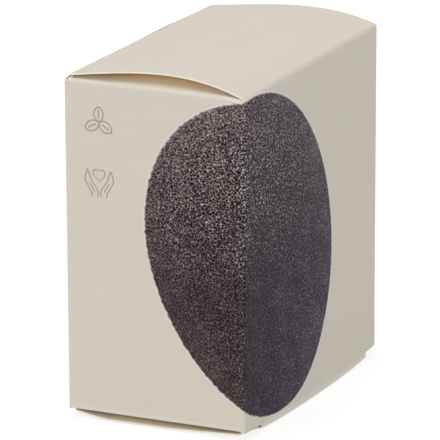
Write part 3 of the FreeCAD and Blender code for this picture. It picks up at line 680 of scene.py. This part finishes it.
def tuck_piece(name, start_y, start_z, start_slope, half_span, end, node):
    """One tuck flap with its fold: a profile that leaves the panel along its slope, turns down round the bend
    and runs straight to the free edge, carried across the flap's width, which narrows towards two rounded
    corners. On the flat blank it is placed well off the printed picture.
    """
    span = np.linspace(-1, 1, 49)
    start_z = np.interp(span, [-1, 1], start_z)
    start_slope = np.interp(span, [-1, 1], start_slope)
    turn = math.pi / 2 + TUCK_LEAN + start_slope
    swing = np.linspace(0, 1, 2 * ARC_STEPS)[:, None] * turn
    arc_y = start_y + TUCK_BEND * (np.sin(swing - start_slope) + np.sin(start_slope))
    arc_z = start_z - TUCK_BEND * (np.cos(start_slope) - np.cos(swing - start_slope))
    last = math.pi / 2 + TUCK_LEAN
    reach = TUCK_LENGTH * np.sin(np.linspace(0, math.pi / 2, 28))[1:, None]
    flap_y = arc_y[-1] + reach * math.cos(last)
    flap_z = arc_z[-1] - reach * math.sin(last)
    y = np.concatenate([arc_y, flap_y])
    z = np.concatenate([arc_z, flap_z])
    run = np.concatenate([TUCK_BEND * swing[:, :1], TUCK_BEND * turn.mean() + reach])[:, 0]
    out = np.clip(run - TUCK_BEND * turn.mean(), 0, None)
    rounding = np.clip(out - (TUCK_LENGTH - TUCK_ROUND), 0, TUCK_ROUND)
    half = half_span - TUCK_SIDE_GAP * np.clip(run / (TUCK_BEND * TUCK_GAP_SHARE), 0, 1)
    half = half - TUCK_TAPER * np.clip(out / (TUCK_LENGTH - TUCK_ROUND), 0, 1)
    half = half - (TUCK_ROUND - np.sqrt(np.clip(TUCK_ROUND ** 2 - rounding ** 2, 0, None)))
    outer = np.stack([half[:, None] * span, y, end * z], -1)
    if end < 0:
        outer = outer[:, ::-1]
    flat = np.stack([outer[..., 0] - WEST, np.broadcast_to(end * (OFF_PICTURE + run[:, None]), y.shape)], -1)
    wear = TUCK_WEAR * np.exp(-((run - TUCK_WEAR_RUN) / TUCK_WEAR_WIDTH) ** 2)[:, None]
    piece = board_piece(name, outer, flat, wear, node)
    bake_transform(piece)


lid_end_z = lid_outer[-1, [0, -1], 2]
lid_end_slope = np.arctan2(lid_outer[-1, [0, -1], 2] - lid_outer[-2, [0, -1], 2],
                           lid_outer[-1, [0, -1], 1] - lid_outer[-2, [0, -1], 1])
tuck_piece("lid_tuck_flap_board", LID_END, lid_end_z, lid_end_slope, LID_HALF, 1, "lid_tuck_flap")
base_end = base_outer[-1, [-1, 0]]
base_before = base_outer[-2, [-1, 0]]
base_end_slope = -np.arctan2(base_end[:, 2] - base_before[:, 2], base_end[:, 1] - base_before[:, 1])
tuck_piece("base_tuck_flap_board", base_end[0, 1], -base_end[:, 2], base_end_slope,
           WIDTH / 2 - BASE_SIDE_GAP, -1, "base_tuck_flap")

# Sponge: the dry puff in the carton, a half-ball of konjac root gel, whipped, frozen and dried into a stiff
# open foam and greyed with charcoal. Fine pores cover it, and it stands loose on its rim with its flat side
# to the back.
sponge_low, sponge_high = (np.array(corner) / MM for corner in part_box("sponge"))
SPONGE_RADIUS = (sponge_high[0] - sponge_low[0]) / 2
SPONGE_THICK = sponge_high[1] - sponge_low[1]
SPONGE_RIM, SPONGE_SHOULDER = 9.0, 22.0
PORE_DEPTH, PORE_WIDTH = 0.55, 1.5
PIT_WANDER, PIT_LEVEL, PIT_GAIN = 1.2, 0.52, 1.6
FINE_WANDER, FINE_LEVEL, FINE_GAIN = 0.8, 0.5, 0.5
WANDER, WANDER_PLACE = 2.2, 40
LUMP_WIDTH, LUMP_DEPTH = 14, 0.6
sponge_mid_z = (sponge_high[2] + sponge_low[2]) / 2


def lattice_noise(points, seed):
    """Smooth random height from 0 to 1: random values on a cubic lattice, eased and mixed between corners."""
    cell = np.floor(points).astype(np.int64)
    ease = points - cell
    ease = ease * ease * (3 - 2 * ease)
    height = np.zeros(len(points))
    for corner in np.ndindex(2, 2, 2):
        at = cell + corner
        key = (at[:, 0] * 73856093) ^ (at[:, 1] * 19349663) ^ (at[:, 2] * 83492791) ^ (seed * 2654435761)
        key = (key ^ (key >> 13)) * 1274126177 & 0x7FFFFFFF
        weight = np.prod(np.where(np.array(corner) == 1, ease, 1 - ease), axis=1)
        height += weight * (key / 0x7FFFFFFF)
    return height


# half profile from the flat face out: straight, round the rim, round the shoulder and over the crown
crown_run = SPONGE_THICK - SPONGE_SHOULDER
shoulder_reach = SPONGE_RADIUS - SPONGE_SHOULDER
crown_centre = (crown_run ** 2 - shoulder_reach ** 2 - SPONGE_RIM ** 2) / (2 * (crown_run - SPONGE_RIM))
crown_radius = SPONGE_THICK - crown_centre
join = math.atan2(shoulder_reach, SPONGE_RIM - crown_centre)
flat_r = np.linspace(0, SPONGE_RADIUS - SPONGE_RIM, 56)
rim_angle = np.linspace(0, math.pi / 2, 30)[1:]
shoulder_angle = np.linspace(0, math.pi / 2 - join, 44)[1:]
crown_angle = np.linspace(join, 0, 44)[1:]
half_r = np.concatenate([flat_r, SPONGE_RADIUS - SPONGE_RIM + SPONGE_RIM * np.sin(rim_angle),
                         shoulder_reach + SPONGE_SHOULDER * np.cos(shoulder_angle),
                         crown_radius * np.sin(crown_angle)])
half_h = np.concatenate([0 * flat_r, SPONGE_RIM * (1 - np.cos(rim_angle)),
                         SPONGE_RIM + SPONGE_SHOULDER * np.sin(shoulder_angle),
                         crown_centre + crown_radius * np.cos(crown_angle)])
tangent = np.stack([np.gradient(half_r), np.gradient(half_h)], -1)
tangent /= np.linalg.norm(tangent, axis=1, keepdims=True)
round_angle = np.linspace(0, 2 * math.pi, 361)[:-1]
ring_x = half_r[1:-1, None] * np.cos(round_angle)
ring_z = half_r[1:-1, None] * np.sin(round_angle)
ring = np.stack([ring_x, np.broadcast_to(half_h[1:-1, None], ring_x.shape), ring_z], -1)
ring_normal = np.stack([tangent[1:-1, 1:2] * np.cos(round_angle),
                        np.broadcast_to(-tangent[1:-1, 0:1], ring_x.shape),
                        tangent[1:-1, 1:2] * np.sin(round_angle)], -1)
skin = np.concatenate([ring.reshape(-1, 3), [[0, 0, 0], [0, SPONGE_THICK, 0]]])
skin_normal = np.concatenate([ring_normal.reshape(-1, 3), [[0, -1, 0], [0, 1, 0]]])
wander = np.stack([lattice_noise(skin / WANDER + WANDER_PLACE, seed) for seed in (5, 6, 7)], -1) - 0.5
pits = lattice_noise((skin + PIT_WANDER * wander) / (PORE_WIDTH / 2), 1)
fine = lattice_noise((skin + FINE_WANDER * wander) / (PORE_WIDTH / 4), 2)
lumps = lattice_noise(skin / LUMP_WIDTH, 3)
pitting = PIT_GAIN * np.clip(PIT_LEVEL - pits, 0, 1) + FINE_GAIN * np.clip(FINE_LEVEL - fine, 0, 1)
pore = PORE_DEPTH * pitting
depth = pore + LUMP_DEPTH * lumps
skin = skin - depth[:, None] * skin_normal
sponge_points = np.stack([skin[:, 0], sponge_high[1] - skin[:, 1], sponge_mid_z + skin[:, 2]], -1)
rings, around = ring_x.shape
index = np.arange(rings * around).reshape(rings, around)
ahead = np.roll(index, -1, axis=1)
quads = np.stack([index[:-1], ahead[:-1], ahead[1:], index[1:]], -1).reshape(-1, 4)
back_cap = np.stack([np.full(around, rings * around), ahead[0], index[0]], -1)
crown_cap = np.stack([np.full(around, rings * around + 1), index[-1], ahead[-1]], -1)
sponge_mesh = bpy.data.meshes.new("konjac_puff")
sponge_faces = [*quads.tolist(), *back_cap.tolist(), *crown_cap.tolist()]
sponge_mesh.from_pydata((sponge_points * MM).tolist(), [], sponge_faces)
sponge_mesh.polygons.foreach_set("use_smooth", np.ones(len(sponge_mesh.polygons), bool))
pore_attribute = sponge_mesh.attributes.new("pore_depth", "FLOAT", "POINT")
pore_attribute.data.foreach_set("value", pore.astype(np.float32))
sponge_mesh.update()

# Dried konjac foam: a dull, soft charcoal grey on its strands, with painted shade that darkens it to nearly
# black inside the pores and towards the hollow middle of each grain cell.
FOAM_STRAND, FOAM_PORE_SHADE = "#6B6463", "#1B1819"
GRAIN, GRAIN_DEPTH, GRAIN_STRENGTH = 0.8, 0.3, 0.6
GRAIN_REACH, GRAIN_SHADE, PORE_REACH = 0.4, 0.5, 0.35
foam, tree, surface = new_material("dried_charcoal_konjac_foam")
pore_depth = add_node(tree, "Attribute", attribute_name="pore_depth").outputs["Fac"]
place = add_node(tree, "TexCoord").outputs["Object"]
grain = add_node(tree, "TexVoronoi", {"Vector": place, "Scale": 1 / (GRAIN * MM)}, feature="DISTANCE_TO_EDGE")
# painted shade: the foam darkens towards the middle of each grain cell and inside the pores
grain_shading = add_node(tree, "MapRange", [grain.outputs["Distance"], 0.0, GRAIN_REACH, 0.0, GRAIN_SHADE])
pore_shading = add_node(tree, "MapRange", [pore_depth, 0.0, PORE_REACH])
shade_share = add_node(tree, "Math", [pore_shading, grain_shading], operation="ADD", use_clamp=True)
foam_colour = add_node(tree, "MixRGB", [shade_share, linear(FOAM_STRAND), linear(FOAM_PORE_SHADE)])
foam_bump = add_node(tree, "Bump", {"Height": grain.outputs["Distance"], "Strength": GRAIN_STRENGTH,
                                    "Distance": GRAIN_DEPTH * MM}, invert=True)
tree.links.new(foam_colour.outputs[0], surface.inputs["Base Color"])
tree.links.new(foam_bump.outputs["Normal"], surface.inputs["Normal"])
surface.inputs["Roughness"].default_value = 0.95
surface.inputs["Specular IOR Level"].default_value = 0.1
sponge_mesh.materials.append(foam)
puff = bpy.data.objects.new("konjac_puff", sponge_mesh)
bpy.context.scene.collection.objects.link(puff)
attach(puff, "sponge_body")
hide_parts("sponge")

# Studio: a white paper floor that glows a little, so that shadows on it stay faint, and soft white light from
# all round, stronger from the upper left.
FLOOR_HALF = 6.0
FLOOR_GREY, FLOOR_GLOW = "#9A9A9A", 0.74
WORLD_LIGHT = 0.375
CARTON_MIDDLE = Vector((0, 0, 0.045))
floor_mesh = bpy.data.meshes.new("paper_floor")
floor_mesh.from_pydata([(-FLOOR_HALF, -FLOOR_HALF, 0), (FLOOR_HALF, -FLOOR_HALF, 0),
                        (FLOOR_HALF, FLOOR_HALF, 0), (-FLOOR_HALF, FLOOR_HALF, 0)], [], [(0, 1, 2, 3)])
paper, tree, surface = new_material("white_background_paper")
surface.inputs["Base Color"].default_value = linear(FLOOR_GREY)
surface.inputs["Roughness"].default_value = 1.0
surface.inputs["Specular IOR Level"].default_value = 0.0
surface.inputs["Emission Color"].default_value = (1.0, 1.0, 1.0, 1.0)
surface.inputs["Emission Strength"].default_value = FLOOR_GLOW
floor_mesh.materials.append(paper)
floor = bpy.data.objects.new("paper_floor", floor_mesh)
bpy.context.scene.collection.objects.link(floor)
world = bpy.data.worlds.new("studio")
bpy.context.scene.world = world
world.use_nodes = True
world.node_tree.nodes["Background"].inputs["Color"].default_value = (1.0, 1.0, 1.0, 1.0)
world.node_tree.nodes["Background"].inputs["Strength"].default_value = WORLD_LIGHT


def soft_box(name, place, size, power):
    """A square soft light that faces the middle of the carton."""
    lamp = bpy.data.lights.new(name, "AREA")
    lamp.size = size
    lamp.energy = power
    box = bpy.data.objects.new(name, lamp)
    box.location = place
    box.rotation_mode = "QUATERNION"
    box.rotation_quaternion = (CARTON_MIDDLE - Vector(place)).to_track_quat("-Z", "Y")
    bpy.context.scene.collection.objects.link(box)


soft_box("left_soft_box", (-1.5, 0.25, 0.6), 1.2, 5.8)
soft_box("overhead_soft_box", (-0.2, 0.2, 1.6), 1.2, 16.6)
soft_box("front_soft_box", (-0.35, -0.75, 1.35), 0.8, 5.0)
bpy.context.scene.view_settings.view_transform = "Standard"

# Camera: a long lens at the photograph's angle, aimed so that the carton stands where it stands there.
AZIMUTH, ELEVATION = math.radians(-65.26), math.radians(16.42)
DISTANCE, LENS = 1.6, 521.0
AIM_HEIGHT, AIM_LEFT, AIM_DOWN = 0.0448, 0.000917, 0.00124
camera_data = bpy.data.cameras.new("camera")
camera_data.lens = LENS
camera = bpy.data.objects.new("camera", camera_data)
level_reach = math.cos(ELEVATION)
back = Vector((math.sin(AZIMUTH) * level_reach, -math.cos(AZIMUTH) * level_reach, math.sin(ELEVATION)))
rightward = Vector((math.cos(AZIMUTH), math.sin(AZIMUTH), 0))
upward = back.cross(rightward)
aim = Vector((0, 0, AIM_HEIGHT)) - AIM_LEFT * rightward - AIM_DOWN * upward
camera.location = aim + DISTANCE * back
camera.rotation_mode = "QUATERNION"
camera.rotation_quaternion = (-back).to_track_quat("-Z", "Y")
bpy.context.scene.collection.objects.link(camera)
bpy.context.scene.camera = camera
